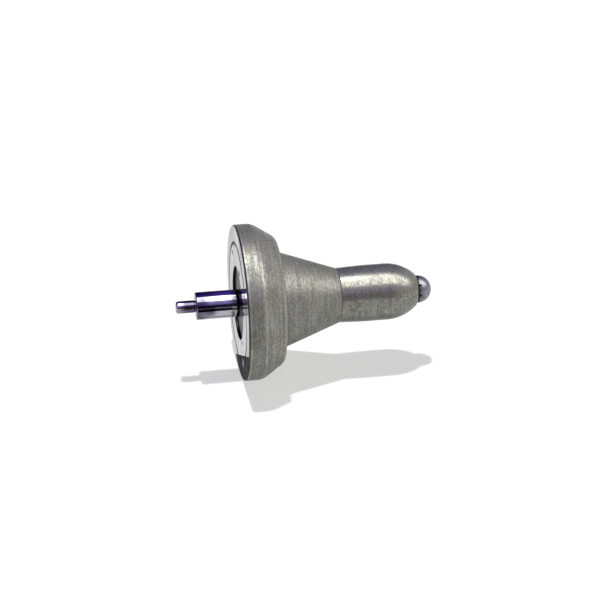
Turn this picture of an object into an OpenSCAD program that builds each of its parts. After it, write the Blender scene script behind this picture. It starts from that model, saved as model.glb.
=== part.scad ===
// Liquid-cooled oil nozzle: flanged housing, lapped needle guide, sliding needle and multi-hole spray tip.
// +X is the spray direction, +Z is up, and the origin is the centre of the lapped rear face.

/* [Flange] */
// Radius of the flange rim
flange_r = 22.5; // [22:0.1:24]
// Length of the cylindrical flange rim
rim_len = 5.2; // [4.5:0.1:5.6]
// Radius where the flange chamfer meets the front shoulder
shoulder_r = 18.6; // [18:0.1:19]
// Distance from the rear face to the front shoulder
shoulder_x = 11.5; // [11.3:0.1:12]

/* [Cone and nose] */
// Radius of the cone where it leaves the shoulder
cone_r = 14.2; // [13.6:0.1:15]
// Radius of the neck where the nose sleeve begins
neck_r = 7.9; // [7.8:0.05:8.1]
// Distance from the rear face to the neck
neck_x = 29.0; // [28:0.1:29.5]
// Largest radius of the nose sleeve
nose_r = 8.2; // [8.1:0.05:8.6]
// Distance from the rear face to the start of the nose ogive
ogive_x = 43.3; // [42.5:0.1:43.8]
// Distance from the rear face to the sleeve's front lip
lip_x = 52.1; // [52:0.1:52.3]
// Outer radius of the sleeve's front lip
lip_r = 4.6; // [4.5:0.05:4.9]

/* [Lapped rear face] */
// Outer radius of the guide body's head, where it meets the housing
head_r = 17.3; // [17.2:0.1:17.5]
// Radius of the central recess
recess_r = 10.65; // [10:0.05:10.8]
// Depth of the central recess
recess_depth = 0.8; // [0.5:0.1:1]
// Distance from the axis to the locating notch's straight edge
notch_d = 15.1; // [14.5:0.1:15.5]
// Depth of the locating notch
notch_depth = 0.2; // [0.1:0.1:0.6]
// Clock angle of the notch, from +Z towards -Y
notch_clock = 154; // [0:1:359]

/* [Needle] */
// Radius of the needle's guide
needle_r = 4.0; // [3.99:0.01:4.01]
// Radial running clearance of the needle in its guide bore
guide_gap = 0.02; // [0.01:0.01:0.03]
// How far the needle's shoulder stands out of the rear face at rest
needle_out = 12.2; // [11:0.1:13]
// How far the shoulder sits below the rear face when the needle is seated
needle_lift = 0.8; // [0.6:0.1:1]
// Radius of the rear thrust pin
pin_r = 1.8; // [1.5:0.1:2]
// Length of the rear thrust pin
pin_len = 5.7; // [5:0.1:6.5]
// Radius of the needle's stem
stem_r = 2.2; // [2:0.1:2.3]

/* [Spray tip] */
// Radius of the spray tip's dome
tip_r = 4.0; // [3.9:0.05:4.05]
// Number of spray holes
spray_count = 8; // [4:1:10]
// Radius of a spray hole
spray_r = 0.35; // [0.2:0.05:0.4]
// Angle of a spray hole to the axis
spray_angle = 76; // [72:1:80]
// Clock angle of the first spray hole, from +Z towards -Y
spray_clock = 4; // [0:1:44]

/* [Ports] */
// Number of fuel ducts
fuel_count = 3; // [1:1:3]
// Radius of a fuel duct
fuel_r = 0.75; // [0.5:0.05:0.75]
// Clock angle of the first fuel duct, from +Z towards -Y
fuel_clock = 20; // [0:1:30]
// Radius of the coolant inlet
coolant_in_r = 0.9; // [0.6:0.05:0.9]
// Radius of the coolant outlet
coolant_out_r = 0.8; // [0.6:0.05:0.8]

/* [Hidden] */
$fn = 96;

// Guide body: head, cone and shank
head_len = 7.5;
seal_t = 0.5;
body_cone_r = 10.8;
body_cone_end_x = 23.5;
body_neck_r = 5.6;
body_neck_len = 2;
shank_r = 4.7;
body_end_x = 48.0;
joint_chamfer = 0.45;
gallery_x = 20.5;
gallery_r = 4.5;
gallery_end_x = 24.0;
gallery_taper_len = 1.5;
stem_bore_r = 2.75;
guide_bore_r = needle_r + guide_gap;

// Needle seat: a cone that runs from the stem bore down to the outlet
seat_half_angle = 30;
seat_x = 42.5;
outlet_r = 0.9;
seat_end_x = seat_x + (stem_bore_r - outlet_r) / tan(seat_half_angle);
seat_gap = 0.04;

// Needle, at rest drawn out of the guide
travel_in = needle_out + needle_lift;
guide_margin = 0.5;
guide_front_x = gallery_x - guide_margin - travel_in;
guide_taper_len = 1.2;
needle_cone_x = seat_x + (stem_bore_r - stem_r) / tan(seat_half_angle) - seat_gap - travel_in;
needle_end_r = 0.6;
needle_end_x = needle_cone_x + (stem_r - needle_end_r) / tan(seat_half_angle);
needle_chamfer = 0.4;
relief_count = 3;
relief_depth = 0.2;
relief_w = 0.5;
relief_pitch = 2.2;
relief_x = 0.6;

// Housing cavity round the guide body
seat_ledge_r = 16.2;
ledge_x = head_len + seal_t;
chamber_end_x = 9.6;
cavity_r = 11.6;
bore_r = 6.5;
bore_x = 26.0;
spigot_r = 7.1;
spigot_end_x = 32.5;
chamfer_end_x = 11.0;

// Nose sleeve
sleeve_bore_r = 6.9;
sleeve_taper_x = 36.0;
sleeve_cavity_end_x = 49.4;
sleeve_cavity_end_r = 4.9;
lip_bore_r = 3.95;
lip_bore_end_x = 50.3;
lip_mouth_r = 4.25;
sleeve_step = 0.05;
ogive_len = lip_x - ogive_x;
ogive_drop = nose_r - lip_r;
ogive_arc_r = (ogive_len * ogive_len + ogive_drop * ogive_drop) / (2 * ogive_drop);
ogive_centre_r = nose_r - ogive_arc_r;
arc_steps = 8;

// Spray tip
tip_flange_r = 4.7;
tip_flange_end_x = 49.0;
tip_barrel_r = 3.85;
dome_x = 52.8;
dome_shoulder_x = 52.45;
barrel_end_x = 52.3;
spigot_tip_r = 2.3;
spigot_tip_x = 46.8;
sac_end_x = 53.4;
spray_start_x = 52.0;

// Clocking parts
dowel_r = 1.2;
dowel_len = 5.0;
tip_pin_r = 0.5;
tip_pin_x = 47.2;
tip_pin_len = 1.6;
tip_pin_at_r = 3.4;
tip_pin_clock = 26;

// Ports in the head
fuel_port_r = 12.0;
fuel_end_x = 22.0;
fuel_end_r = 4.3;
coolant_in_at_r = 12.1;
coolant_in_clock = 80;
coolant_out_at_r = 15.0;
coolant_out_clock = 320;

// Baffle: a thin funnel that splits the coolant into an inner and an outer stream
baffle_rim_r = 13.4;
baffle_t = 0.4;
baffle_rim_x = 7.1;
baffle_web_x = 8.0;
baffle_funnel_x = 8.8;
baffle_funnel_r = 10.95;
baffle_funnel_end_x = 26.0;
baffle_funnel_end_r = 5.75;
baffle_skew = 0.3;
baffle_end_x = 45.5;
baffle_r = 5.4;

eps = 0.01;

// Solid of revolution about X from a list of [x, r] points
module turned(points) {
    rotate([0, 90, 0]) rotate_extrude() polygon([for (p = points) [p[1], p[0]]]);
}

// Round bar along X from x0 to x1
module bar(x0, x1, r) {
    translate([x0, 0, 0]) rotate([0, 90, 0]) cylinder(h = x1 - x0, r = r);
}

// Ring along X from x0 to x1
module tube(x0, x1, inner_r, outer_r) {
    turned([[x0, inner_r], [x0, outer_r], [x1, outer_r], [x1, inner_r]]);
}

// Children turned from +Z towards -Y about the axis
module clocked(angle) {
    rotate([angle, 0, 0]) children();
}

// Straight hole that starts at r0 on the rear face, run out behind it, and ends at [x1, r1]
module drilling(x1, r0, r1, r) {
    run_out = 2 * r;
    translate([0, 0, r0]) rotate([0, atan2(x1, r1 - r0), 0])
        translate([0, 0, -run_out]) cylinder(h = norm([x1, r1 - r0]) + run_out, r = r);
}

// Radius of the ogive at a distance from its start
function ogive_at(d) = ogive_centre_r + sqrt(ogive_arc_r * ogive_arc_r - d * d);

// Points on the ogive, from its start to the front lip
function ogive_points() = [for (i = [0:arc_steps]) let (d = ogive_len * i / arc_steps)
    [ogive_x + d, ogive_at(d)]];

// Points on the spray tip's dome, from its rim to the pole
function dome_points() = [for (i = [0:arc_steps]) let (a = 90 * i / arc_steps)
    [dome_x + tip_r * sin(a), tip_r * cos(a)]];

// The chordal notch that is cut back across both lapped rings
module notch_cut() {
    side = 2 * flange_r;
    clocked(notch_clock) translate([-eps, -flange_r, notch_d]) cube([notch_depth + eps, side, flange_r]);
}

// The half-and-half hole for the dowel that clocks the guide body in the housing
module dowel_hole() {
    clocked(notch_clock) translate([0, 0, head_r]) bar(-eps, notch_depth + dowel_len, dowel_r);
}

module nozzle_housing() {
    color([0.47, 0.47, 0.45]) difference() {
        turned([[0, head_r + joint_chamfer], [0, flange_r], [rim_len, flange_r],
            [chamfer_end_x, shoulder_r], [shoulder_x, shoulder_r], [shoulder_x, cone_r],
            [neck_x, neck_r], [neck_x, spigot_r], [spigot_end_x, spigot_r], [spigot_end_x, bore_r],
            [bore_x, bore_r], [chamber_end_x, cavity_r], [chamber_end_x, seat_ledge_r],
            [ledge_x, seat_ledge_r], [ledge_x, head_r], [joint_chamfer, head_r]]);
        notch_cut();
        dowel_hole();
    }
}

module guide_body() {
    color([0.78, 0.78, 0.76]) difference() {
        turned([[0, recess_r], [0, head_r - joint_chamfer], [joint_chamfer, head_r], [head_len, head_r],
            [head_len, body_cone_r], [body_cone_end_x, body_neck_r],
            [body_cone_end_x + body_neck_len, body_neck_r], [neck_x, shank_r],
            [body_end_x, shank_r], [body_end_x, spigot_tip_r], [spigot_tip_x, spigot_tip_r],
            [spigot_tip_x, outlet_r], [seat_end_x, outlet_r], [seat_x, stem_bore_r],
            [gallery_end_x + gallery_taper_len, stem_bore_r], [gallery_end_x, gallery_r],
            [gallery_x, gallery_r], [gallery_x, guide_bore_r], [recess_depth, guide_bore_r],
            [recess_depth, recess_r]]);
        notch_cut();
        dowel_hole();
        for (i = [0:fuel_count - 1]) clocked(fuel_clock + i * 360 / fuel_count)
            drilling(fuel_end_x, fuel_port_r, fuel_end_r, fuel_r);
        clocked(coolant_in_clock) translate([0, 0, coolant_in_at_r])
            bar(-eps, head_len + eps, coolant_in_r);
        clocked(coolant_out_clock) translate([0, 0, coolant_out_at_r])
            bar(-eps, head_len + eps, coolant_out_r);
        clocked(tip_pin_clock) translate([0, 0, tip_pin_at_r])
            bar(tip_pin_x, body_end_x + eps, tip_pin_r);
        tube(baffle_rim_x, head_len + eps, baffle_rim_r, baffle_rim_r + baffle_t);
    }
}

module needle() {
    shoulder_x = -needle_out;
    color([0.52, 0.47, 0.72]) difference() {
        turned([[shoulder_x - pin_len, 0], [shoulder_x - pin_len, pin_r - needle_chamfer],
            [shoulder_x - pin_len + needle_chamfer, pin_r], [shoulder_x, pin_r],
            [shoulder_x, needle_r - needle_chamfer], [shoulder_x + needle_chamfer, needle_r],
            [guide_front_x, needle_r], [guide_front_x + guide_taper_len, stem_r],
            [needle_cone_x, stem_r], [needle_end_x, needle_end_r], [needle_end_x, 0]]);
        for (i = [0:relief_count - 1]) translate([relief_x + i * relief_pitch, 0, 0])
            tube(0, relief_w, needle_r - relief_depth, needle_r + eps);
    }
}

module nose_sleeve() {
    inner = [[lip_x, lip_mouth_r], [lip_bore_end_x, lip_mouth_r], [lip_bore_end_x, lip_bore_r],
        [sleeve_cavity_end_x, lip_bore_r], [sleeve_cavity_end_x, sleeve_cavity_end_r],
        [ogive_x, sleeve_bore_r], [spigot_end_x, sleeve_bore_r], [spigot_end_x, spigot_r],
        [neck_x, spigot_r]];
    color([0.50, 0.50, 0.47]) turned(concat([[neck_x, neck_r + sleeve_step],
        [sleeve_taper_x, nose_r]], ogive_points(), inner));
}

module coolant_baffle() {
    inner = [[baffle_end_x, baffle_r], [neck_x, baffle_r], [baffle_funnel_end_x, baffle_funnel_end_r],
        [baffle_funnel_x, baffle_funnel_r], [baffle_web_x, baffle_rim_r], [baffle_rim_x, baffle_rim_r]];
    outer = [[baffle_rim_x, baffle_rim_r], [baffle_web_x + baffle_skew, baffle_rim_r],
        [baffle_funnel_x + baffle_skew, baffle_funnel_r],
        [baffle_funnel_end_x + baffle_skew, baffle_funnel_end_r], [neck_x + baffle_skew, baffle_r],
        [baffle_end_x, baffle_r]];
    color([0.72, 0.60, 0.42]) turned(concat([for (p = outer) [p[0], p[1] + baffle_t]], inner));
}

module spray_tip() {
    color([0.60, 0.59, 0.64]) difference() {
        turned(concat([[spigot_tip_x, 0], [spigot_tip_x, spigot_tip_r], [body_end_x, spigot_tip_r],
            [body_end_x, tip_flange_r], [tip_flange_end_x, tip_flange_r],
            [tip_flange_end_x, tip_barrel_r], [barrel_end_x, tip_barrel_r],
            [dome_shoulder_x, tip_r]], dome_points()));
        bar(spigot_tip_x - eps, sac_end_x, outlet_r);
        translate([sac_end_x, 0, 0]) sphere(r = outlet_r);
        clocked(tip_pin_clock) translate([0, 0, tip_pin_at_r])
            bar(body_end_x - eps, tip_pin_x + tip_pin_len, tip_pin_r);
        for (i = [0:spray_count - 1]) clocked(spray_clock + i * 360 / spray_count)
            translate([spray_start_x, 0, 0]) rotate([0, 90 - spray_angle, 0])
                cylinder(h = 2 * tip_r, r = spray_r);
    }
}

module tip_pin() {
    color([0.35, 0.36, 0.38]) clocked(tip_pin_clock) translate([0, 0, tip_pin_at_r])
        bar(tip_pin_x, tip_pin_x + tip_pin_len, tip_pin_r);
}

module tip_seal_ring() {
    color([0.72, 0.45, 0.30]) tube(tip_flange_end_x, sleeve_cavity_end_x, tip_barrel_r, tip_flange_r);
}

module guide_seal_ring() {
    color([0.72, 0.45, 0.30]) tube(head_len, ledge_x, seat_ledge_r, head_r);
}

module guide_dowel() {
    color([0.70, 0.70, 0.68]) clocked(notch_clock) translate([0, 0, head_r])
        bar(notch_depth, notch_depth + dowel_len, dowel_r);
}

nozzle_housing();
guide_body();
needle();
nose_sleeve();
coolant_baffle();
spray_tip();
tip_pin();
tip_seal_ring();
guide_seal_ring();
guide_dowel();
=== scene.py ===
"""Liquid-cooled oil nozzle with its needle drawn partly out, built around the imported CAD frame.

+X is the spray direction, +Z is up and the origin is the centre of the lapped rear face.
Outlines and inner sizes are in millimetres along the axis and from it; the meshes are in metres.
"""

import math

import bmesh
import bpy
from bpy.props import FloatProperty, FloatVectorProperty, IntProperty, PointerProperty
from mathutils import Euler, Matrix, Vector


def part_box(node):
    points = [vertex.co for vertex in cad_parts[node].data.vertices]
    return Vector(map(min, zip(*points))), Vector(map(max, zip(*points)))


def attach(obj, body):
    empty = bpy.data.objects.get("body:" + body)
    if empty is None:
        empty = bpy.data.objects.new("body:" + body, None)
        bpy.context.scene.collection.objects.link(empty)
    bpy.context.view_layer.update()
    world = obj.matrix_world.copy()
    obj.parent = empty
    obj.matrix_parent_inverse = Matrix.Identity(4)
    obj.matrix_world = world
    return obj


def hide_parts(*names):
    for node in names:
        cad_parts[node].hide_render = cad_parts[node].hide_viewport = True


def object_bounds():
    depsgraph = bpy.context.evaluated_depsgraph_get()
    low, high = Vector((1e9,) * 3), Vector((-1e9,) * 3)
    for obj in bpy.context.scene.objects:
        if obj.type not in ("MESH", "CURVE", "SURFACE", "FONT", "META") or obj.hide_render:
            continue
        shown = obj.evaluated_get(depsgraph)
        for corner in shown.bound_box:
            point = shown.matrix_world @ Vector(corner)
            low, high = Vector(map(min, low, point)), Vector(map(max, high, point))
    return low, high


bl_info = {
    "name": "Oil nozzle",
    "version": (1, 0, 0),
    "blender": (4, 5, 0),
    "location": "View3D > Sidebar > Nozzle",
    "description": "Builds a liquid-cooled oil nozzle, its finishes and its studio around a packed frame",
    "category": "Object",
}

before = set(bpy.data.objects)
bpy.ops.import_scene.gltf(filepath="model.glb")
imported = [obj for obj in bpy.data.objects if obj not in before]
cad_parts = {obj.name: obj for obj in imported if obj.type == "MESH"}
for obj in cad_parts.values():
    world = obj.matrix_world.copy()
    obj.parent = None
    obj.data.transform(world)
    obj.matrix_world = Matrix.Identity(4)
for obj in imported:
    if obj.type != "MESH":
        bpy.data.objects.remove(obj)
CAD_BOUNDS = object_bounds()
MM = 0.001
MERGE_DISTANCE = MM * 1e-4


def cad_end(node):
    """The front end of a CAD node along the axis, in millimetres."""
    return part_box(node)[1].x / MM


def cad_start(node):
    """The rear end of a CAD node along the axis, in millimetres."""
    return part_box(node)[0].x / MM


def cad_radius(node):
    """The largest radius of a CAD node, in millimetres."""
    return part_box(node)[1].z / MM


HEAD_RADIUS = cad_radius("guide_seal_ring")

# What a user would change


def length(name, description, millimetres):
    """A length property with its default in millimetres."""
    return FloatProperty(
        name=name, description=description, default=millimetres * MM, unit="LENGTH", precision=5
    )


def angle(name, description, degrees):
    """An angle property with its default in degrees."""
    return FloatProperty(
        name=name, description=description, default=math.radians(degrees), subtype="ANGLE"
    )


def number(name, description, value):
    """A plain number of the studio."""
    return FloatProperty(name=name, description=description, default=value, min=0.0)


def tint(name, description, red, green, blue):
    """A colour property."""
    return FloatVectorProperty(
        name=name, description=description, default=(red, green, blue), subtype="COLOR"
    )


class NozzleSizes(bpy.types.PropertyGroup):
    """Sizes of the turned parts that the frame's boxes don't give."""

    rim_length: length("Rim length", "Length of the flange's cylindrical rim", 5.2)
    shoulder_radius: length("Shoulder radius", "Radius where the chamfer meets the front shoulder", 18.6)
    shoulder_place: length("Shoulder place", "Distance from the rear face to the front shoulder", 11.5)
    cone_radius: length("Cone radius", "Radius of the cone at the front shoulder", 14.2)
    neck_radius: length("Neck radius", "Radius of the housing where the nose sleeve begins", 7.9)
    ogive_start: length("Ogive start", "Distance from the rear face to the nose's rounding", 43.3)
    lip_radius: length("Lip radius", "Outer radius of the nose sleeve's front lip", 4.6)
    recess_radius: length("Recess radius", "Radius of the recess round the needle", 10.65)
    recess_depth: length("Recess depth", "Depth of the recess round the needle", 0.8)
    notch_distance: length("Notch distance", "Distance from the axis to the notch's edge", 15.1)
    notch_depth: length("Notch depth", "Depth of the locating notch", 0.2)
    notch_clock: angle("Notch clock", "Clock angle of the locating notch, from +Z towards -Y", 154)
    thrust_pin_radius: length("Thrust pin radius", "Radius of the pin on the needle's rear end", 1.8)
    thrust_pin_length: length("Thrust pin length", "Length of the pin on the needle's rear end", 5.7)
    spray_radius: length("Spray hole radius", "Radius of a spray hole", 0.35)
    spray_count: IntProperty(
        name="Spray holes", description="Number of spray holes", default=8, min=1, max=10
    )
    segments: IntProperty(
        name="Segments",
        description="Steps of a full turn of the large turned parts",
        default=192,
        min=48,
        max=256,
    )


class NozzleColours(bpy.types.PropertyGroup):
    """Colours of the finishes."""

    steel_dark: tint("Dark steel", "Darkest grey of the phosphated steel", 0.112, 0.112, 0.104)
    steel_light: tint("Light steel", "Lightest grey of the phosphated steel", 0.315, 0.314, 0.284)
    steel_worn: tint("Worn steel", "Bare steel where an edge has rubbed", 0.62, 0.61, 0.58)
    # Near-black for oil in the joint groove, and painted shade on the groove and the rear chamfer
    grime_and_painted_shade: tint("Grime", "Oil and dirt in the grooves", 0.02, 0.02, 0.025)
    lapped: tint("Lapped steel", "Mirror-lapped sealing face", 0.62, 0.62, 0.62)
    smeared: tint("Smeared steel", "Lapped face under an oil film", 0.2, 0.2, 0.195)
    # Painted shade: the notch's pitted floor is coloured far darker than the phosphated steel, standing in
    # for the shade on it
    notch_pits_painted_shade: tint("Dark notch", "Pits in the floor of the locating notch", 0.01, 0.01, 0.009)
    notch_floor_painted_shade: tint("Light notch", "Floor of the locating notch", 0.075, 0.075, 0.066)
    recess_dark: tint("Dark recess", "Darkest grey of the turned recess", 0.055, 0.055, 0.06)
    recess_light: tint("Light recess", "Lightest grey of the turned recess", 0.115, 0.115, 0.118)
    # Painted shade: near-black on the recess wall, standing in for the shade inside it
    recess_wall_painted_shade: tint("Recess wall", "Shaded wall of the recess", 0.015, 0.015, 0.018)
    needle: tint("Needle", "Mirror-ground needle with its heat tint", 0.54, 0.51, 0.64)
    needle_straw: tint("Needle straw", "Straw-coloured patches of the needle", 0.52, 0.52, 0.44)
    needle_film: tint("Needle film", "Dark oil film on the needle", 0.05, 0.042, 0.085)
    tip: tint("Spray tip", "Satin steel of the spray tip", 0.2, 0.196, 0.225)
    tip_light: tint("Light tip", "Lighter turning marks of the spray tip", 0.34, 0.335, 0.37)
    # Dark colour of the soot patches and of the ring at the tip's root
    soot: tint("Soot", "Soot at the root of the spray tip", 0.03, 0.03, 0.028)
    copper: tint("Copper", "Annealed copper of the seal rings", 0.56, 0.24, 0.13)
    brass: tint("Brass", "Drawn brass of the coolant baffle", 0.55, 0.38, 0.14)
    dowel: tint("Dowel steel", "Ground steel of the dowel and the pin", 0.34, 0.34, 0.33)
    floor: tint("Floor", "Pale floor of the studio", 0.88, 0.88, 0.88)


class NozzleStudio(bpy.types.PropertyGroup):
    """Camera and light of the studio."""

    azimuth: angle("Azimuth", "Camera's turn about +Z, where 0 looks along +Y", -10)
    elevation: angle("Elevation", "Camera's height above the horizon", 26.5)
    lens: number("Lens", "Focal length in millimetres", 105.0)
    view_width: length("View width", "Width that the camera sees at the rear face", 174.4)
    aim_right: length("Aim right", "How far the view's centre lies right of the rear face", 19.0)
    aim_down: length("Aim down", "How far the view's centre lies below the rear face's centre", 0.3)
    key_strength: number("Key strength", "Strength of the small overhead key", 1.55)
    fill_strength: number("Fill strength", "Strength of the broad light on the nozzle", 1.75)
    softbox_glow: number("Softbox glow", "Brightness of the softbox in reflections", 4.5)
    floor_glow: number("Floor glow", "How much the floor lights itself", 0.52)


# Mesh tools


def new_object(name, shape, material=None):
    """Makes an object of a bmesh."""
    mesh = bpy.data.meshes.new(name)
    shape.to_mesh(mesh)
    shape.free()
    if material:
        mesh.materials.append(material)
    made = bpy.data.objects.new(name, mesh)
    bpy.context.scene.collection.objects.link(made)
    return made


def place_mesh(name, shape, body, node, material, smooth_limit=32.0, even=True):
    """Makes a piece of a bmesh, shades it and joins it to the frame."""
    bmesh.ops.triangulate(shape, faces=[f for f in shape.faces if len(f.verts) > 4])
    piece = new_object(name, shape, material)
    shade_by_angle(piece.data, smooth_limit)
    if even:
        piece.modifiers.new("even_shading", "WEIGHTED_NORMAL").keep_sharp = True
    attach(piece, body)
    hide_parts(node)


def shade_by_angle(mesh, limit):
    """Smooth shading with the edges sharper than the limit in degrees kept crisp."""
    mesh.shade_smooth()
    mesh.set_sharp_from_angle(angle=math.radians(limit))


def outline_shape(corners, closed, steps=4):
    """A wire outline in the XZ plane. A corner is (x, r), or (x, r, rounding), in millimetres."""
    shape = bmesh.new()
    verts = [shape.verts.new((x * MM, 0.0, r * MM)) for x, r, *_ in corners]
    pairs = list(zip(verts, verts[1:]))
    if closed:
        pairs.append((verts[-1], verts[0]))
    for a, b in pairs:
        shape.edges.new((a, b))
    for vert, (_, _, *rounding) in zip(verts, corners):
        if rounding:
            bmesh.ops.bevel(
                shape,
                geom=[vert],
                offset=rounding[0] * MM,
                offset_type="OFFSET",
                segments=steps,
                profile=0.5,
                affect="VERTICES",
                material=-1,
            )
    return shape


def lathe(corners, segments, closed=True, steps=4):
    """A solid turned about X from an outline. An open outline begins and ends on the axis."""
    shape = outline_shape(corners, closed, steps)
    bmesh.ops.spin(
        shape,
        geom=shape.verts[:] + shape.edges[:],
        cent=(0, 0, 0),
        axis=(1, 0, 0),
        angle=math.tau,
        steps=segments,
        use_merge=True,
    )
    bmesh.ops.remove_doubles(shape, verts=shape.verts[:], dist=MERGE_DISTANCE)
    bmesh.ops.recalc_face_normals(shape, faces=shape.faces[:])
    return shape


def rod(x0, x1, radius, segments=32):
    """A round bar along X, sizes in millimetres."""
    shape = bmesh.new()
    bmesh.ops.create_cone(
        shape,
        cap_ends=True,
        segments=segments,
        radius1=radius * MM,
        radius2=radius * MM,
        depth=(x1 - x0) * MM,
    )
    bmesh.ops.rotate(shape, verts=shape.verts[:], matrix=Matrix.Rotation(math.pi / 2, 3, "Y"))
    bmesh.ops.translate(shape, verts=shape.verts[:], vec=((x0 + x1) / 2 * MM, 0, 0))
    return shape


def lift(shape, distance):
    """Moves a shape away from the axis, along +Z, by millimetres."""
    bmesh.ops.translate(shape, verts=shape.verts[:], vec=(0, 0, distance * MM))
    return shape


def lean(shape, pivot_x, pivot_r, turn):
    """Turns a shape about a point in the XZ plane, from +X towards -Z for a positive angle."""
    bmesh.ops.rotate(
        shape,
        verts=shape.verts[:],
        cent=(pivot_x * MM, 0, pivot_r * MM),
        matrix=Matrix.Rotation(turn, 3, "Y"),
    )
    return shape


def clock(shape, turn):
    """Turns a shape about the axis, from +Z towards -Y."""
    bmesh.ops.rotate(
        shape, verts=shape.verts[:], cent=(0, 0, 0), matrix=Matrix.Rotation(turn, 3, "X")
    )
    return shape


def block(low, high):
    """A box between two corners in millimetres."""
    shape = bmesh.new()
    bmesh.ops.create_cube(shape, size=1.0)
    size = [(b - a) * MM for a, b in zip(low, high)]
    middle = [(a + b) / 2 * MM for a, b in zip(low, high)]
    bmesh.ops.scale(shape, verts=shape.verts[:], vec=size)
    bmesh.ops.translate(shape, verts=shape.verts[:], vec=middle)
    return shape


def carve(shape, tools):
    """Cuts the tool shapes out of a shape and gives the cut shape back."""
    objects = [new_object(f"carve_{i}", part) for i, part in enumerate([shape, *tools])]
    for tool in objects[1:]:
        cut = objects[0].modifiers.new(tool.name, "BOOLEAN")
        cut.operation = "DIFFERENCE"
        cut.solver = "EXACT"
        cut.object = tool
    bpy.context.view_layer.update()
    seen = objects[0].evaluated_get(bpy.context.evaluated_depsgraph_get())
    result = bmesh.new()
    result.from_mesh(seen.to_mesh())
    seen.to_mesh_clear()
    for mesh in [part.data for part in objects]:
        bpy.data.meshes.remove(mesh)
    bmesh.ops.remove_doubles(result, verts=result.verts[:], dist=MERGE_DISTANCE)
    return result


# Material tools

FLOAT = "NodeSocketFloat"
VECTOR = "NodeSocketVector"
COLOUR = "NodeSocketColor"


def colour(values):
    """A shader colour from red, green and blue."""
    return (*values, 1.0)


class Tree:
    """Short calls for adding nodes to a shader tree."""

    def __init__(self, tree):
        self.tree = tree

    def add(self, kind, **settings):
        made = self.tree.nodes.new(kind)
        for key, value in settings.items():
            setattr(made, key, value)
        return made

    def feed(self, socket, value):
        """Links a socket to another, or sets its value."""
        if isinstance(value, bpy.types.NodeSocket):
            self.tree.links.new(value, socket)
        elif value is not None:
            socket.default_value = value

    def fill(self, sockets, **values):
        """Feeds sockets by name; an underscore in a name stands for a space."""
        for key, value in values.items():
            self.feed(sockets[key.replace("_", " ")], value)

    def calc(self, operation, a, b=None, clamp=False):
        made = self.add("ShaderNodeMath", operation=operation, use_clamp=clamp)
        for socket, value in zip(made.inputs, (a, b)):
            self.feed(socket, value)
        return made.outputs[0]

    def times(self, a, b):
        return self.calc("MULTIPLY", a, b)

    def plus(self, a, b):
        return self.calc("ADD", a, b)

    def minus(self, a, b):
        return self.calc("SUBTRACT", a, b)

    def weigh(self, *shares):
        """The sum of (value, share) pairs."""
        total = self.times(*shares[0])
        for value, share in shares[1:]:
            total = self.plus(total, self.times(value, share))
        return total

    def remap(self, value, low, high, new_low=0.0, new_high=1.0):
        made = self.add("ShaderNodeMapRange", interpolation_type="SMOOTHSTEP")
        self.fill(
            made.inputs, Value=value, From_Min=low, From_Max=high, To_Min=new_low, To_Max=new_high
        )
        return made.outputs["Result"]

    def mix(self, factor, a, b, blend="MIX"):
        made = self.add("ShaderNodeMix", data_type="RGBA", blend_type=blend)
        self.feed(made.inputs["Factor"], factor)
        self.feed(made.inputs[6], a)
        self.feed(made.inputs[7], b)
        return made.outputs[2]

    def mix_value(self, factor, a, b):
        made = self.add("ShaderNodeMix", data_type="FLOAT")
        self.feed(made.inputs["Factor"], factor)
        self.feed(made.inputs[2], a)
        self.feed(made.inputs[3], b)
        return made.outputs[0]

    def noise(self, vector, scale, detail, rough, w=None):
        """Noise in three dimensions, or in four where w is given."""
        made = self.add("ShaderNodeTexNoise", noise_dimensions="3D" if w is None else "4D")
        self.fill(made.inputs, Vector=vector, Scale=scale, Detail=detail, Roughness=rough)
        if w is not None:
            self.fill(made.inputs, W=w)
        return made.outputs["Fac"]

    def combine(self, x, y, z):
        made = self.add("ShaderNodeCombineXYZ")
        for socket, value in zip(made.inputs, (x, y, z)):
            self.feed(socket, value)
        return made.outputs[0]

    def split(self, vector):
        made = self.add("ShaderNodeSeparateXYZ")
        self.feed(made.inputs[0], vector)
        return made.outputs

    def mapping(self, vector, turn, scale):
        """A vector turned about X and scaled."""
        made = self.add("ShaderNodeMapping")
        self.feed(made.inputs["Vector"], vector)
        made.inputs["Rotation"].default_value = (turn, 0.0, 0.0)
        made.inputs["Scale"].default_value = scale
        return made.outputs[0]

    def group(self, tree, **values):
        made = self.add("ShaderNodeGroup", node_tree=tree)
        self.fill(made.inputs, **values)
        return made.outputs


def new_group(name, inputs, outputs):
    """A shader group from (name, kind, default) inputs and (name, kind) outputs."""
    tree = bpy.data.node_groups.new(name, "ShaderNodeTree")
    for socket, kind, default in inputs:
        made = tree.interface.new_socket(socket, in_out="INPUT", socket_type=kind)
        if default is not None:
            made.default_value = default
    for socket, kind in outputs:
        tree.interface.new_socket(socket, in_out="OUTPUT", socket_type=kind)
    tools = Tree(tree)
    return tree, tools, tools.add("NodeGroupInput").outputs, tools.add("NodeGroupOutput").inputs


def place_group():
    """Where a point lies on the nozzle, in millimetres: along the axis, from it, and round it."""
    tree, t, given, result = new_group(
        "place on the axis",
        [("Position", VECTOR, None)],
        [("Along", FLOAT), ("Radius", FLOAT), ("Round Y", FLOAT), ("Round Z", FLOAT)],
    )
    along, side, up = (t.times(item, 1 / MM) for item in t.split(given["Position"]))
    radius = t.calc("SQRT", t.plus(t.times(side, side), t.times(up, up)))
    above_zero = t.calc("MAXIMUM", radius, 1e-4)
    t.fill(
        result,
        Along=along,
        Radius=radius,
        Round_Y=t.calc("DIVIDE", side, above_zero),
        Round_Z=t.calc("DIVIDE", up, above_zero),
    )
    return tree


PLACE_INPUTS = [(name, FLOAT, 0.0) for name in ("Along", "Radius", "Round Y", "Round Z")]


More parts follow.
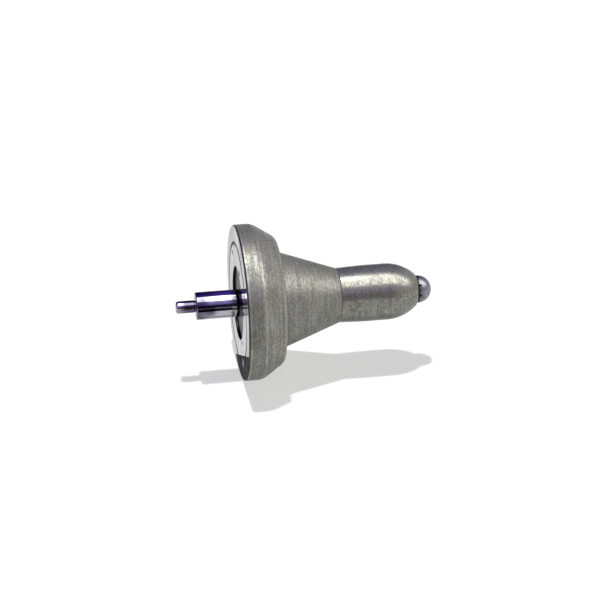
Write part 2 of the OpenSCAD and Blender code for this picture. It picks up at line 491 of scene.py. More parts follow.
def turning_group():
    """Rings that a lathe tool leaves along the axis and the radius, broken up round the turn."""
    tree, t, given, result = new_group(
        "turning marks",
        [*PLACE_INPUTS, ("Pitch", FLOAT, 0.4), ("Break Up", FLOAT, 1.5)],
        [("Marks", FLOAT), ("Fine", FLOAT)],
    )
    finer = 4.0
    rate = t.calc("DIVIDE", 1.0, given["Pitch"])
    across = t.times(given["Along"], rate)
    outwards = t.times(given["Radius"], rate)
    turn = t.times(given["Round Y"], given["Break Up"])
    place = t.combine(across, outwards, turn)
    coarse = t.noise(place, 1.0, 4.0, 0.6, w=t.times(given["Round Z"], given["Break Up"]))
    fine_place = t.combine(t.times(across, finer), t.times(outwards, finer), turn)
    fine = t.noise(fine_place, 1.0, 2.0, 0.6)
    t.fill(result, Marks=t.remap(coarse, 0.3, 0.7), Fine=fine)
    return tree


def edge_group():
    """Rubbed metal near one turned edge, given by its place along the axis and its radius."""
    tree, t, given, result = new_group(
        "rubbed edge",
        [
            *PLACE_INPUTS[:2],
            ("Edge Along", FLOAT, 0.0),
            ("Edge Radius", FLOAT, 0.0),
            ("Width", FLOAT, 0.5),
            ("Grain", FLOAT, 0.5),
        ],
        [("Mask", FLOAT)],
    )
    along = t.minus(given["Along"], given["Edge Along"])
    outwards = t.minus(given["Radius"], given["Edge Radius"])
    distance = t.calc("SQRT", t.plus(t.times(along, along), t.times(outwards, outwards)))
    near = t.calc("SUBTRACT", 1.0, t.calc("DIVIDE", distance, given["Width"]), clamp=True)
    broken = t.remap(given["Grain"], 0.35, 0.65, 0.25, 1.0)
    t.fill(result, Mask=t.calc("MULTIPLY", near, broken, clamp=True))
    return tree


def grain_group():
    """Matt grain, soft mottling and a slower tint of a phosphated or sandblasted surface."""
    tree, t, given, result = new_group(
        "grain and mottle",
        [("Position", VECTOR, None), ("Grain", FLOAT, 2500.0), ("Mottle", FLOAT, 180.0)],
        [("Grain", FLOAT), ("Mottle", FLOAT), ("Tint", FLOAT)],
    )
    tint_shift, tint_share = (0.31, 0.17, 0.53), 0.7
    position = given["Position"]
    shifted = t.add("ShaderNodeVectorMath", operation="ADD")
    t.feed(shifted.inputs[0], position)
    t.feed(shifted.inputs[1], tint_shift)
    t.fill(
        result,
        Grain=t.noise(position, given["Grain"], 3.0, 0.65),
        Mottle=t.noise(position, given["Mottle"], 4.0, 0.6),
        Tint=t.noise(shifted.outputs[0], t.times(given["Mottle"], tint_share), 2.0, 0.5),
    )
    return tree


def lapped_group():
    """A lapped face: hair-fine straight scratches in two directions, under a wiped oil film."""
    tree, t, given, result = new_group(
        "lapped face",
        [
            ("Position", VECTOR, None),
            ("Density", FLOAT, 6000.0),
            ("Film", FLOAT, 0.5),
            ("Polished", COLOUR, None),
            ("Smeared", COLOUR, None),
        ],
        [("Colour", COLOUR), ("Roughness", FLOAT)],
    )
    scratch_stretch, wipe_stretch = (1.0, 1.0, 0.04), (1.0, 1.0, 0.30)
    scratch_share = 0.20
    layers = []
    for turn in (0.5, 1.9):
        stretched = t.mapping(given["Position"], turn, scratch_stretch)
        layers.append(t.remap(t.noise(stretched, given["Density"], 1.0, 0.5), 0.60, 0.72))
    scratches = t.calc("MAXIMUM", *layers)
    wiped = t.noise(t.mapping(given["Position"], 0.0, wipe_stretch), 260.0, 3.0, 0.6)
    film = t.times(t.remap(wiped, 0.42, 0.58), given["Film"])
    smear = t.calc("ADD", t.times(scratches, scratch_share), film, clamp=True)
    t.fill(
        result,
        Colour=t.mix(smear, given["Polished"], given["Smeared"]),
        Roughness=t.remap(scratches, 0.0, 1.0, 0.10, 0.22),
    )
    return tree


def notch_group():
    """The notch's unlapped floor, which is near its depth and past its straight edge, its pits, and its
    colour darkened as painted shade.
    """
    tree, t, given, result = new_group(
        "locating notch",
        [
            ("Position", VECTOR, None),
            *PLACE_INPUTS,
            ("Clock", FLOAT, 0.0),
            ("Distance", FLOAT, 15.0),
            ("Depth", FLOAT, 0.2),
            ("Dark", COLOUR, None),
            ("Light", COLOUR, None),
        ],
        [("Floor", FLOAT), ("Pits", FLOAT), ("Colour", COLOUR)],
    )
    edge_margin, depth_margin = 0.02, 0.25
    across = t.times(given["Round Y"], t.times(t.calc("SINE", given["Clock"]), -1.0))
    upwards = t.times(given["Round Z"], t.calc("COSINE", given["Clock"]))
    reach = t.times(t.plus(across, upwards), given["Radius"])
    beyond = t.calc("GREATER_THAN", reach, t.minus(given["Distance"], edge_margin))
    shallow = t.calc("LESS_THAN", given["Along"], t.plus(given["Depth"], depth_margin))
    pits = t.remap(t.noise(given["Position"], 1500.0, 2.0, 0.5), 0.36, 0.68)
    t.fill(
        result,
        Floor=t.times(beyond, shallow),
        Pits=pits,
        Colour=t.mix(pits, given["Dark"], given["Light"]),
    )
    return tree


def shared_groups():
    """Builds the shader groups once and finds them after that."""
    makers = {
        "place on the axis": place_group,
        "turning marks": turning_group,
        "rubbed edge": edge_group,
        "grain and mottle": grain_group,
        "lapped face": lapped_group,
        "locating notch": notch_group,
    }
    return {name: bpy.data.node_groups.get(name) or make() for name, make in makers.items()}


class Finish:
    """A material being built: its Tree, its Principled shader and where each point lies."""

    def __init__(self, name):
        self.material = bpy.data.materials.new(name)
        self.material.use_nodes = True
        self.t = Tree(self.material.node_tree)
        self.shader = self.material.node_tree.nodes["Principled BSDF"]
        self.groups = shared_groups()
        self.position = self.t.add("ShaderNodeTexCoord").outputs["Object"]
        self.place = self.t.group(self.groups["place on the axis"], Position=self.position)
        self.along = self.place["Along"]

    def group_here(self, name, **values):
        """Places a group that reads where a point lies along, from and round the axis."""
        return self.t.group(
            self.groups[name],
            Along=self.along,
            Radius=self.place["Radius"],
            Round_Y=self.place["Round Y"],
            Round_Z=self.place["Round Z"],
            **values,
        )

    def turning(self, pitch, break_up):
        return self.group_here("turning marks", Pitch=pitch, Break_Up=break_up)

    def grain(self, grain, mottle):
        return self.t.group(
            self.groups["grain and mottle"], Position=self.position, Grain=grain, Mottle=mottle
        )

    def edges(self, places, width, grain):
        """The strongest rubbed-edge mask of several (along, radius) edges."""
        strongest = None
        for along, radius in places:
            mask = self.t.group(
                self.groups["rubbed edge"],
                Along=self.along,
                Radius=self.place["Radius"],
                Edge_Along=along,
                Edge_Radius=radius,
                Width=width,
                Grain=grain,
            )["Mask"]
            strongest = mask if strongest is None else self.t.calc("MAXIMUM", strongest, mask)
        return strongest

    def bump(self, height, strength, depth):
        """A normal from a height map, with its depth in millimetres."""
        made = self.t.add("ShaderNodeBump")
        self.t.fill(made.inputs, Height=height, Strength=strength, Distance=depth * MM)
        return made.outputs[0]

    def set(self, **values):
        self.t.fill(self.shader.inputs, **values)
        return self.material


# Finishes

LAPPED_DEPTH = 0.04


def phosphated(f, colours, edges, burnish, break_up):
    """Colour, roughness, metal and relief of dull turned steel, brighter where it is burnished."""
    t = f.t
    worn_colour, worn_polish, worn_metal = 0.6, 0.08, 0.4
    olive, violet = (0.97, 0.985, 0.90, 1.0), (0.990, 0.985, 1.0, 1.0)
    rings = f.turning(0.45, 1.2)
    blotches = f.turning(0.36, break_up)
    grain = f.grain(2600.0, 260.0 + 300.0 * burnish)
    tone = t.weigh(
        (blotches["Marks"], 0.40),
        (rings["Marks"], 0.22),
        (grain["Mottle"], 0.36),
        (grain["Grain"], 0.15),
    )
    tone = t.remap(tone, 0.25, 0.90)
    base = t.mix(tone, colour(colours.steel_dark), colour(colours.steel_light))
    base = t.mix(t.remap(grain["Tint"], 0.45, 0.62), base, olive, "MULTIPLY")
    base = t.mix(t.remap(grain["Tint"], 0.52, 0.38), base, violet, "MULTIPLY")
    worn = f.edges(edges, 0.50, grain["Mottle"])
    base = t.mix(t.times(worn, worn_colour), base, colour(colours.steel_worn))
    lifted = 1.0 + 0.14 * burnish
    base = t.mix(1.0, base, (lifted, lifted, lifted * 0.985, 1.0), "MULTIPLY")
    rough = t.remap(tone, 0.1, 0.9, 0.52 - 0.16 * burnish, 0.30 - 0.13 * burnish)
    rough = t.minus(rough, t.times(worn, worn_polish))
    metal = t.calc("ADD", 0.36 + 0.24 * burnish, t.times(worn, worn_metal), clamp=True)
    relief = t.weigh((rings["Fine"], 0.4), (blotches["Marks"], 0.7), (grain["Grain"], 1.0))
    return base, rough, metal, relief


def lap_rear_face(f, sizes, colours, turned, film, pit_height):
    """Laps what lies on the rear plane of a turned finish, and pits the notch's floor and darkens it as
    painted shade.
    """
    t = f.t
    base, rough, metal, relief = turned
    lapped = t.calc("LESS_THAN", f.along, LAPPED_DEPTH)
    face = t.group(
        f.groups["lapped face"],
        Position=f.position,
        Density=6000.0,
        Film=film,
        Polished=colour(colours.lapped),
        Smeared=colour(colours.smeared),
    )
    notch = f.group_here(
        "locating notch",
        Position=f.position,
        Clock=sizes.notch_clock,
        Distance=sizes.notch_distance / MM,
        Depth=sizes.notch_depth / MM,
        Dark=colour(colours.notch_pits_painted_shade),
        Light=colour(colours.notch_floor_painted_shade),
    )
    floor = notch["Floor"]
    # The notch's floor takes its pitted colour, darkened as painted shade
    base = t.mix(floor, t.mix(lapped, base, face["Colour"]), notch["Colour"])
    rough = t.mix_value(floor, t.mix_value(lapped, rough, face["Roughness"]), 0.95)
    metal = t.mix_value(floor, t.mix_value(lapped, metal, 1.0), 0.0)
    matt = t.minus(1.0, t.minus(lapped, t.times(floor, lapped)))
    pitted = t.times(notch["Pits"], t.times(floor, pit_height))
    return base, rough, metal, t.times(t.plus(relief, pitted), matt)


def housing_steel(name, sizes, colours, edges):
    """Phosphated steel with a lapped rear ring, with grime in the joint groove and painted shade darkening
    the groove and the rear chamfer.
    """
    f = Finish(name)
    t = f.t
    grime_and_shade_end = 0.48
    base, rough, metal, relief = phosphated(f, colours, edges, burnish=0.0, break_up=34.0)
    # Near-black just behind the lapped ring, in the joint groove and on the rear chamfer: oil in the
    # groove, and painted shade where these hollows fall dark
    behind = t.calc("LESS_THAN", f.along, grime_and_shade_end)
    grime_and_shade_mask = t.times(behind, t.calc("GREATER_THAN", f.along, LAPPED_DEPTH))
    base = t.mix(grime_and_shade_mask, base, colour(colours.grime_and_painted_shade))
    metal = t.mix_value(grime_and_shade_mask, metal, 0.0)
    base, rough, metal, relief = lap_rear_face(
        f, sizes, colours, (base, rough, metal, relief), film=0.75, pit_height=4.0
    )
    normal = f.bump(relief, 0.45, 0.03)
    return f.set(Base_Color=base, Roughness=rough, Metallic=metal, Normal=normal)


def guide_steel(name, sizes, colours):
    """Mirror-lapped rear ring, turned grey recess with painted shade on its wall, and the notch's floor
    darkened as painted shade.
    """
    f = Finish(name)
    t = f.t
    marks = f.turning(0.30, 1.2)
    # Painted shade: everything shallower than the recess floor, the recess wall and the head's joint
    # chamfer among it, is coloured near-black
    wall = t.calc("LESS_THAN", f.along, sizes.recess_depth / MM - 0.05)
    base = t.mix(marks["Marks"], colour(colours.recess_dark), colour(colours.recess_light))
    base = t.mix(wall, base, colour(colours.recess_wall_painted_shade))
    rough = t.remap(marks["Fine"], 0.2, 0.8, 0.30, 0.45)
    base, rough, metal, relief = lap_rear_face(
        f, sizes, colours, (base, rough, 1.0, marks["Marks"]), film=0.45, pit_height=6.0
    )
    normal = f.bump(relief, 0.3, 0.02)
    return f.set(Base_Color=base, Roughness=rough, Metallic=metal, Normal=normal)


def sleeve_steel(name, colours, edges):
    """Phosphated steel that heat and handling have burnished."""
    f = Finish(name)
    base, rough, metal, relief = phosphated(f, colours, edges, burnish=1.0, break_up=12.0)
    normal = f.bump(relief, 0.35, 0.03)
    return f.set(Base_Color=base, Roughness=rough, Metallic=metal, Normal=normal)


def needle_steel(name, colours):
    """Mirror-ground steel with wandering straw and violet tints, a dark film and fine grinding lines."""
    f = Finish(name)
    t = f.t
    straw_share, film_share = 0.6, 0.85
    fine = f.turning(0.05, 0.8)
    grain = f.grain(900.0, 120.0)
    straw = t.times(t.remap(grain["Mottle"], 0.35, 0.65), straw_share)
    base = t.mix(straw, colour(colours.needle), colour(colours.needle_straw))
    film = t.times(t.remap(grain["Tint"], 0.47, 0.60), film_share)
    base = t.mix(film, base, colour(colours.needle_film))
    rough = t.remap(fine["Marks"], 0.0, 1.0, 0.05, 0.10)
    normal = f.bump(fine["Marks"], 0.12, 0.004)
    return f.set(Base_Color=base, Roughness=rough, Metallic=1.0, Normal=normal)


def tip_steel(name, colours):
    """Satin steel with patchy soot that thickens towards its base, and a dark ring at its root."""
    f = Finish(name)
    t = f.t
    soot_front, soot_back, root_front, root_back = 54.8, 52.8, 52.95, 52.75
    soot_share, soot_rough, soot_dull = 0.75, 0.3, 0.4
    marks = f.turning(0.25, 1.5)
    grain = f.grain(2600.0, 260.0)
    patches = t.times(t.remap(grain["Mottle"], 0.35, 0.65), soot_share)
    soot = t.times(t.remap(f.along, soot_front, soot_back), patches)
    clean = t.mix(marks["Marks"], colour(colours.tip), colour(colours.tip_light))
    # A dark ring at the tip's root, where it enters the sleeve's mouth, in the same dark colour as the
    # soot
    dark_root_ring = t.remap(f.along, root_front, root_back)
    base = t.mix(t.calc("MAXIMUM", soot, dark_root_ring), clean, colour(colours.soot))
    rough = t.plus(0.30, t.times(soot, soot_rough))
    metal = t.minus(0.9, t.times(soot, soot_dull))
    normal = f.bump(t.plus(marks["Marks"], grain["Grain"]), 0.25, 0.015)
    return f.set(Base_Color=base, Roughness=rough, Metallic=metal, Normal=normal)


def plain_metal(name, base_colour, roughness):
    """Metal for the inner pieces: turned, with tone and roughness that wander a little."""
    f = Finish(name)
    t = f.t
    marks = f.turning(0.2, 1.0)
    grain = f.grain(2500.0, 220.0)
    deep = colour([0.6 * value for value in base_colour])
    tone = t.weigh((marks["Marks"], 0.5), (grain["Mottle"], 0.5))
    base = t.mix(tone, deep, colour(base_colour))
    rough = t.remap(grain["Grain"], 0.3, 0.7, roughness - 0.06, roughness + 0.08)
    normal = f.bump(marks["Marks"], 0.2, 0.01)
    return f.set(Base_Color=base, Roughness=rough, Metallic=1.0, Normal=normal)


# Operators

OUTSIDE = -1.0
DOWEL_RADIUS = 1.2
SPIGOT_RADIUS = 7.1
TUBE_RADIUS = 4.7
SOCKET_RADIUS = 2.3
SEAT_RADIUS = 0.9
HEAD_EDGE = 0.45
COLLAR_END = 25.5
NECK_STEP = 0.12


def settings(context):
    scene = context.scene
    return scene.nozzle_sizes, scene.nozzle_colours, scene.nozzle_studio


def notch_tool(sizes):
    """The block that cuts the locating notch, turned to its clock angle."""
    edge, side = sizes.notch_distance / MM, 30.0
    shape = block((OUTSIDE, -side, edge), (sizes.notch_depth / MM, side, edge + side))
    return clock(shape, sizes.notch_clock)


def dowel_tool(sizes):
    """The bar that cuts the dowel's hole, half in the housing and half in the guide body."""
    bar = rod(OUTSIDE, cad_end("guide_dowel"), DOWEL_RADIUS)
    return clock(lift(bar, HEAD_RADIUS), sizes.notch_clock)


class BuildHousing(bpy.types.Operator):
    """Turn the flanged conical housing, with rounded edges and a lapped rear ring"""

    bl_idname = "nozzle.housing"
    bl_label = "Housing"

    def execute(self, context):
        sizes, colours, _ = settings(context)
        rim, rim_x = cad_radius("nozzle_housing"), sizes.rim_length / MM
        chamfer, joint = 0.5, 0.6
        shoulder_r, shoulder_x = sizes.shoulder_radius / MM, sizes.shoulder_place / MM
        cone_r = sizes.cone_radius / MM
        neck_r, neck_x = sizes.neck_radius / MM, cad_start("nose_sleeve")
        end = cad_end("nozzle_housing")
        bore_r, bore_x = 6.5, 26.0
        chamber_r, chamber_x = 11.6, 9.6
        ledge_r, ledge_x = 16.2, 8.0
        shape = lathe(
            [
                (0, HEAD_RADIUS + joint),
                (0, rim - 0.32, 0.05),
                (chamfer, rim - 0.01, 0.12),
                (rim_x, rim, 1.3),
                (shoulder_x - 0.4, shoulder_r, 0.6),
                (shoulder_x, shoulder_r - 0.5, 0.2),
                (shoulder_x, cone_r, 0.6),
                (neck_x - 0.22, neck_r + 0.08, 0.1),
                (neck_x, neck_r - NECK_STEP),
                (neck_x, SPIGOT_RADIUS),
                (end, SPIGOT_RADIUS),
                (end, bore_r),
                (bore_x, bore_r),
                (chamber_x, chamber_r),
                (chamber_x, ledge_r),
                (ledge_x, ledge_r),
                (ledge_x, HEAD_RADIUS),
                (HEAD_EDGE, HEAD_RADIUS),
            ],
            sizes.segments,
            steps=5,
        )
        shape = carve(shape, [notch_tool(sizes), dowel_tool(sizes)])
        worn_edges = [(0.7, rim), (rim_x, rim), (shoulder_x - 0.3, shoulder_r)]
        steel = housing_steel("housing_steel", sizes, colours, worn_edges)
        place_mesh("housing", shape, "nozzle", "nozzle_housing", steel)
        return {"FINISHED"}


class BuildGuideBody(bpy.types.Operator):
    """Turn the guide body, with its lapped head, recess, ports and needle bore"""

    bl_idname = "nozzle.guide_body"
    bl_label = "Guide body"

    def execute(self, context):
        sizes, colours, _ = settings(context)
        end = cad_end("guide_body")
        recess_r, recess_x, recess_edge = sizes.recess_radius / MM, sizes.recess_depth / MM, 0.12
        joint = 0.6
        head_end, waist_r = 7.5, 10.8
        collar_x, collar_r = 23.5, 5.6
        socket_x, seat_x = 46.8, 45.7
        channel_x, channel_r = 42.5, 2.75
        gallery_start, gallery_end, gallery_r = 20.5, 24.0, 4.5
        bore_r, bore_chamfer = 4.02, 0.25
        shape = lathe(
            [
                (0, recess_r + recess_edge),
                (0, HEAD_RADIUS - joint),
                (HEAD_EDGE, HEAD_RADIUS),
                (head_end, HEAD_RADIUS),
                (head_end, waist_r, 0.3),
                (collar_x, collar_r),
                (COLLAR_END, collar_r),
                (cad_start("nose_sleeve"), TUBE_RADIUS),
                (end, TUBE_RADIUS, 0.1),
                (end, SOCKET_RADIUS),
                (socket_x, SOCKET_RADIUS),
                (socket_x, SEAT_RADIUS),
                (seat_x, SEAT_RADIUS),
                (channel_x, channel_r),
                (COLLAR_END, channel_r),
                (gallery_end, gallery_r),
                (gallery_start, gallery_r),
                (gallery_start, bore_r),
                (recess_x + bore_chamfer, bore_r),
                (recess_x, bore_r + bore_chamfer),
                (recess_x, recess_r, 0.12),
                (recess_edge, recess_r),
            ],
            sizes.segments,
        )
        shape = carve(shape, [notch_tool(sizes), dowel_tool(sizes), *self.ducts(), *self.ports()])
        steel = guide_steel("lapped_steel", sizes, colours)
        place_mesh("guide", shape, "nozzle", "guide_body", steel, even=False)
        return {"FINISHED"}

    def ducts(self):
        """Three inclined bars from the rear face to the gallery, which cut the fuel ducts."""
        radius, bar_end = 0.75, 23.3
        start_r, gallery_r, gallery_x = 12.0, 4.3, 22.0
        first_clock, count = 20, 3
        fall = math.atan2(start_r - gallery_r, gallery_x)
        for i in range(count):
            bar = lean(lift(rod(OUTSIDE, bar_end, radius), start_r), 0.0, start_r, fall)
            yield clock(bar, math.radians(first_clock + 360 / count * i))

    def ports(self):
        """Two straight bars through the head, which cut the coolant inlet and outlet."""
        bar_end = 8.5
        for radius, distance, degrees in ((0.9, 12.1, 80), (0.8, 15.0, 320)):
            yield clock(lift(rod(OUTSIDE, bar_end, radius), distance), math.radians(degrees))


class BuildNeedle(bpy.types.Operator):
    """Turn the needle valve, with its thrust pin, relief grooves, stem and seat cone"""

    bl_idname = "nozzle.needle"
    bl_label = "Needle"

    def execute(self, context):
        sizes, colours, _ = settings(context)
        start, end = cad_start("needle"), cad_end("needle")
        guide_r = cad_radius("needle")
        pin_r = sizes.thrust_pin_radius / MM
        shoulder = start + sizes.thrust_pin_length / MM
        undercut_x, undercut_r = shoulder - 0.35, pin_r - 0.18
        guide_end = shoulder + 19.2
        stem_r, tip_r, seat_half_angle = 2.2, 0.6, math.radians(30)
        cone = end - (stem_r - tip_r) / math.tan(seat_half_angle)
        first_groove, groove_pitch, groove_width = 0.6, 2.2, 0.5
        groove_r = guide_r - 0.2
        corners = [
            (start, 0.0),
            (start, pin_r, 0.75),
            (undercut_x, pin_r, 0.12),
            (undercut_x, undercut_r, 0.05),
            (shoulder, undercut_r, 0.08),
            (shoulder, guide_r, 0.3),
        ]
        for i in range(3):
            groove = first_groove + groove_pitch * i
            corners += [
                (groove, guide_r, 0.04),
                (groove, groove_r, 0.08),
                (groove + groove_width, groove_r, 0.08),
                (groove + groove_width, guide_r, 0.04),
            ]
        corners += [
            (guide_end, guide_r, 0.1),
            (guide_end + 1.2, stem_r, 0.3),
            (cone, stem_r),
            (end, tip_r, 0.05),
            (end, 0.0),
        ]
        shape = lathe(corners, 128, closed=False)
        steel = needle_steel("needle_steel", colours)
        place_mesh("needle_valve", shape, "needle", "needle", steel)
        return {"FINISHED"}


class BuildSleeve(bpy.types.Operator):
    """Turn the nose sleeve, from its seam at the neck to the rounded front lip"""

    bl_idname = "nozzle.sleeve"
    bl_label = "Nose sleeve"

    def execute(self, context):
        sizes, colours, _ = settings(context)
        start, lip = cad_start("nose_sleeve"), cad_end("nose_sleeve")
        nose_r = cad_radius("nose_sleeve")
        neck_r, lip_r = sizes.neck_radius / MM, sizes.lip_radius / MM
        taper_x, line_x, line_half, line_depth = 36.0, 40.4, 0.12, 0.05
        mouth_r, mouth_x = 4.25, 50.3
        tip_bore_r, ring_seat_x, ring_seat_r = 3.95, 49.4, 4.9
        bore_r, spigot_x = 6.9, 32.5
        ogive_x = sizes.ogive_start / MM
        reach, drop, steps = lip - ogive_x, nose_r - lip_r, 18
        arc = (reach**2 + drop**2) / (2 * drop)
        corners = [
            (start, neck_r - NECK_STEP),
            (start + 0.26, neck_r + 0.04, 0.12),
            (taper_x, nose_r, 1.5),
            (line_x - line_half, nose_r),
            (line_x, nose_r - line_depth),
            (line_x + line_half, nose_r),
        ]
        for i in range(steps):
            along = reach * i / steps
            corners.append((ogive_x + along, nose_r - arc + math.sqrt(arc**2 - along**2)))
        corners += [
            (lip, lip_r, 0.12),
            (lip, mouth_r, 0.05),
            (mouth_x, mouth_r),
            (mouth_x, tip_bore_r),
            (ring_seat_x, tip_bore_r),
            (ring_seat_x, ring_seat_r),
            (ogive_x, bore_r),
            (spigot_x, bore_r),
            (spigot_x, SPIGOT_RADIUS),
            (start, SPIGOT_RADIUS),
        ]
        shape = lathe(corners, sizes.segments)
        steel = sleeve_steel("sleeve_steel", colours, [(lip, lip_r)])
        place_mesh("sleeve", shape, "nozzle", "nose_sleeve", steel)
        return {"FINISHED"}


class BuildSprayTip(bpy.types.Operator):
    """Turn the domed spray tip and drill its sac and its ring of spray holes"""

    bl_idname = "nozzle.spray_tip"
    bl_label = "Spray tip"

    def execute(self, context):
        sizes, colours, _ = settings(context)
        start, end = cad_start("spray_tip"), cad_end("spray_tip")
        collar_start, collar_end, body_r = 48.0, 49.0, 3.85
        dome_x, dome_steps = 52.8, 20
        dome_r = end - dome_x
        corners = [
            (start, 0.0),
            (start, SOCKET_RADIUS, 0.05),
            (collar_start, SOCKET_RADIUS),
            (collar_start, TUBE_RADIUS, 0.05),
            (collar_end, TUBE_RADIUS, 0.05),
            (collar_end, body_r),
            (dome_x - 0.5, body_r),
            (dome_x - 0.35, dome_r, 0.08),
        ]
        for i in range(dome_steps):
            turn = math.pi / 2 * i / dome_steps
            corners.append((dome_x + dome_r * math.sin(turn), dome_r * math.cos(turn)))
        corners.append((end, 0.0))
        shape = lathe(corners, 96, closed=False)
        sac_end = 54.0
        shape = carve(shape, [rod(start + OUTSIDE, sac_end, SEAT_RADIUS), *self.spray_holes(sizes)])
        steel = tip_steel("tip_steel", colours)
        place_mesh("tip", shape, "nozzle", "spray_tip", steel)
        return {"FINISHED"}

    def spray_holes(self, sizes):
        """A ring of bars that lean out from the sac, which drill the spray holes."""
        sac_x, outside_x, segments = 52.0, 60.0, 24
        spread, first_clock = math.radians(76), math.radians(4)
        for i in range(sizes.spray_count):
            bar = rod(sac_x, outside_x, sizes.spray_radius / MM, segments)
            bar = lean(bar, sac_x, 0.0, -spread)
            yield clock(bar, first_clock + math.tau * i / sizes.spray_count)


class FinishInnerParts(bpy.types.Operator):
    """Give the baffle, seal rings, dowel and pin their metals"""

    bl_idname = "nozzle.inner_parts"
    bl_label = "Inner parts"

    def execute(self, context):
        _, colours, _ = settings(context)
        copper = plain_metal("seal_copper", colours.copper, 0.38)
        brass = plain_metal("baffle_brass", colours.brass, 0.34)
        dowel = plain_metal("pin_steel", colours.dowel, 0.36)
        finishes = {
            "coolant_baffle": brass,
            "tip_seal_ring": copper,
            "guide_seal_ring": copper,
            "guide_dowel": dowel,
            "tip_pin": dowel,
        }
        for node, material in finishes.items():
            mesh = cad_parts[node].data
            mesh.materials.clear()
            mesh.materials.append(material)
        return {"FINISHED"}


# Stage

WHITE = colour((1.0, 1.0, 1.0))


def matt_finish(name, pitch, detail, dark, light, roughness, specular):
    """A matt stage material with a fine grain of two colours, its Tree and its shader's sockets."""
    material = bpy.data.materials.new(name)
    material.use_nodes = True
    t = Tree(material.node_tree)
    shader = material.node_tree.nodes["Principled BSDF"]
    grain = t.noise(t.add("ShaderNodeTexCoord").outputs["Object"], pitch, detail, 0.6)
    t.fill(
        shader.inputs,
        Base_Color=t.mix(grain, colour(dark), colour(light)),
        Roughness=roughness,
        Specular_IOR_Level=specular,
    )
    return material, t, shader.inputs


def distant_light(name, direction, spread, strength):
    """A far light that shines from a direction, with its spread in degrees."""
    data = bpy.data.lights.new(name, "SUN")
    data.angle = math.radians(spread)
    data.energy = strength
    lamp = bpy.data.objects.new(name, data)
    bpy.context.scene.collection.objects.link(lamp)
    lamp.rotation_euler = Vector(direction).to_track_quat("Z", "Y").to_euler()
    return lamp


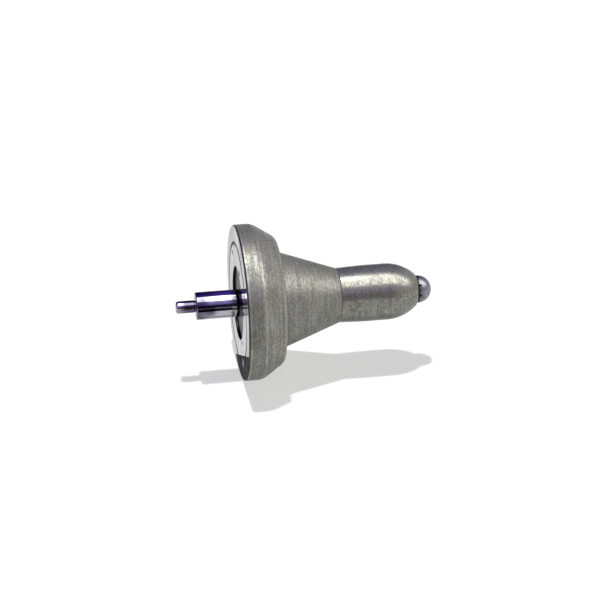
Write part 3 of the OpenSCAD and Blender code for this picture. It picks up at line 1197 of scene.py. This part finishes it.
class BuildStage(bpy.types.Operator):
    """Set up the pale floor, the flag, the surroundings, the lights and the camera"""

    bl_idname = "nozzle.stage"
    bl_label = "Stage"

    def execute(self, context):
        _, colours, studio = settings(context)
        floor = self.floor(colours, studio)
        self.flag()
        self.surroundings(context.scene, studio)
        self.lights(studio, floor)
        self.camera(context.scene, studio)
        return {"FINISHED"}

    def floor(self, colours, studio):
        """A pale floor that lights itself a little, and half as much in reflections."""
        half_width, low = 4.0, CAD_BOUNDS[0][2]
        shape = bmesh.new()
        bmesh.ops.create_grid(shape, x_segments=4, y_segments=4, size=half_width)
        bmesh.ops.translate(shape, verts=shape.verts[:], vec=(0, 0, low))
        darker = [0.985 * c for c in colours.floor]
        paper, t, sockets = matt_finish("floor_paper", 900.0, 3.0, darker, colours.floor, 0.9, 0.1)
        glossy = t.add("ShaderNodeLightPath").outputs["Is Glossy Ray"]
        glow = t.mix(glossy, WHITE, colour((0.5, 0.5, 0.5)))
        t.fill(sockets, Emission_Color=glow, Emission_Strength=studio.floor_glow)
        floor = new_object("floor", shape, paper)
        return floor

    def flag(self):
        """A black card on the floor before the needle, which only polished metal picks up."""
        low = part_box("nozzle_housing")[0].z + 0.5 * MM
        near, far = 42.0 * MM, 900.0 * MM
        left, right, drift = -32.0 * MM, 3.0 * MM, 0.157
        corners = [
            (side + drift * ahead, -ahead, low)
            for ahead, side in ((near, left), (near, right), (far, right), (far, left))
        ]
        shape = bmesh.new()
        face = shape.faces.new([shape.verts.new(corner) for corner in corners])
        face.normal_update()
        if face.normal.z < 0:
            face.normal_flip()
        dark, light = (0.010, 0.008, 0.014), (0.022, 0.018, 0.030)
        cloth, _, _ = matt_finish("flag_cloth", 1500.0, 2.0, dark, light, 1.0, 0.0)
        flag = new_object("flag", shape, cloth)
        flag.visible_camera = False
        flag.visible_diffuse = False
        flag.visible_shadow = False

    def surroundings(self, scene, studio):
        """A room that is white to the camera, dim to matt surfaces, and violet with a softbox to gloss."""
        world = bpy.data.worlds.new("studio_room")
        world.use_nodes = True
        scene.world = world
        t = Tree(world.node_tree)
        background = world.node_tree.nodes["Background"]
        direction = t.split(t.add("ShaderNodeTexCoord").outputs["Generated"])
        along = direction[0]
        turn = t.calc("ARCTAN2", direction[2], t.times(direction[1], -1.0))
        turn = t.calc("DIVIDE", turn, math.pi)
        ceiling = self.ceiling(t, turn)
        wall = t.times(t.remap(along, 0.42, 0.66), 0.85)
        reflected = t.mix(wall, ceiling, colour((0.58, 0.58, 0.61)))
        box_middle, box_inside, box_outside = 0.25, 0.55, 0.70
        front, back = t.remap(turn, 0.310, 0.335), t.remap(turn, 0.575, 0.545)
        side = t.calc("ABSOLUTE", t.minus(along, box_middle))
        softbox = t.times(t.times(front, back), t.remap(side, box_outside, box_inside))
        glow = [studio.softbox_glow * share for share in (1.0, 1.0, 0.97)]
        reflected = t.mix(softbox, reflected, colour(glow))
        rays = t.add("ShaderNodeLightPath").outputs
        room = t.mix(rays["Is Glossy Ray"], colour((0.12, 0.12, 0.124)), reflected)
        t.feed(background.inputs["Color"], t.mix(rays["Is Camera Ray"], room, WHITE))

    def ceiling(self, t, turn):
        """Colours from the front horizon, where turn is 0, over the top to the back, where it is 1."""
        stops = (
            (0.00, (0.020, 0.016, 0.040)),
            (0.12, (0.024, 0.018, 0.050)),
            (0.16, (0.290, 0.225, 0.540)),
            (0.30, (0.540, 0.480, 0.780)),
            (0.50, (0.300, 0.270, 0.460)),
            (0.60, (0.085, 0.038, 0.360)),
            (0.85, (0.036, 0.016, 0.160)),
            (1.00, (0.015, 0.010, 0.060)),
        )
        ramp = t.add("ShaderNodeValToRGB")
        t.feed(ramp.inputs[0], turn)
        for _ in stops[2:]:
            ramp.color_ramp.elements.new(0.5)
        for element, (place, shade) in zip(ramp.color_ramp.elements, stops):
            element.position = place
            element.color = colour(shade)
        return ramp.outputs[0]

    def lights(self, studio, floor):
        """A small overhead key, and a broad fill that lights the nozzle but not the floor or gloss."""
        distant_light("overhead_key", (-0.03, 0.08, 1.0), 3.0, studio.key_strength)
        fill = distant_light("camera_fill", (0.75, -0.45, 0.65), 30.0, studio.fill_strength)
        fill.visible_glossy = False
        shaded = bpy.data.collections.new("kept_from_fill")
        shaded.objects.link(floor)
        fill.light_linking.receiver_collection = shaded
        shaded.collection_objects[0].light_linking.link_state = "EXCLUDE"

    def camera(self, scene, studio):
        turned = Euler((math.pi / 2 - studio.elevation, 0.0, studio.azimuth))
        right, up, back = turned.to_matrix().col
        target = right * studio.aim_right - up * studio.aim_down
        data = bpy.data.cameras.new("camera")
        data.lens = studio.lens
        data.clip_start = 0.01
        distance = studio.view_width * data.lens / data.sensor_width
        camera = bpy.data.objects.new("camera", data)
        scene.collection.objects.link(camera)
        camera.location = target + back * distance
        camera.rotation_euler = turned
        scene.camera = camera
        scene.view_settings.view_transform = "Standard"


class NozzlePanel(bpy.types.Panel):
    """Lists the pieces of the nozzle and its stage"""

    bl_idname = "VIEW3D_PT_nozzle"
    bl_label = "Oil nozzle"
    bl_space_type = "VIEW_3D"
    bl_region_type = "UI"
    bl_category = "Nozzle"

    def draw(self, context):
        for operator in OPERATORS:
            self.layout.operator(operator.bl_idname)


OPERATORS = (
    BuildStage,
    BuildHousing,
    BuildGuideBody,
    BuildNeedle,
    BuildSleeve,
    BuildSprayTip,
    FinishInnerParts,
)
CLASSES = (NozzleSizes, NozzleColours, NozzleStudio, *OPERATORS, NozzlePanel)


def register():
    for item in CLASSES:
        bpy.utils.register_class(item)
    bpy.types.Scene.nozzle_sizes = PointerProperty(type=NozzleSizes)
    bpy.types.Scene.nozzle_colours = PointerProperty(type=NozzleColours)
    bpy.types.Scene.nozzle_studio = PointerProperty(type=NozzleStudio)


def unregister():
    del bpy.types.Scene.nozzle_studio
    del bpy.types.Scene.nozzle_colours
    del bpy.types.Scene.nozzle_sizes
    for item in reversed(CLASSES):
        bpy.utils.unregister_class(item)


def main():
    register()
    bpy.ops.nozzle.stage()
    bpy.ops.nozzle.housing()
    bpy.ops.nozzle.guide_body()
    bpy.ops.nozzle.needle()
    bpy.ops.nozzle.sleeve()
    bpy.ops.nozzle.spray_tip()
    bpy.ops.nozzle.inner_parts()


if __name__ == "__main__":
    main()
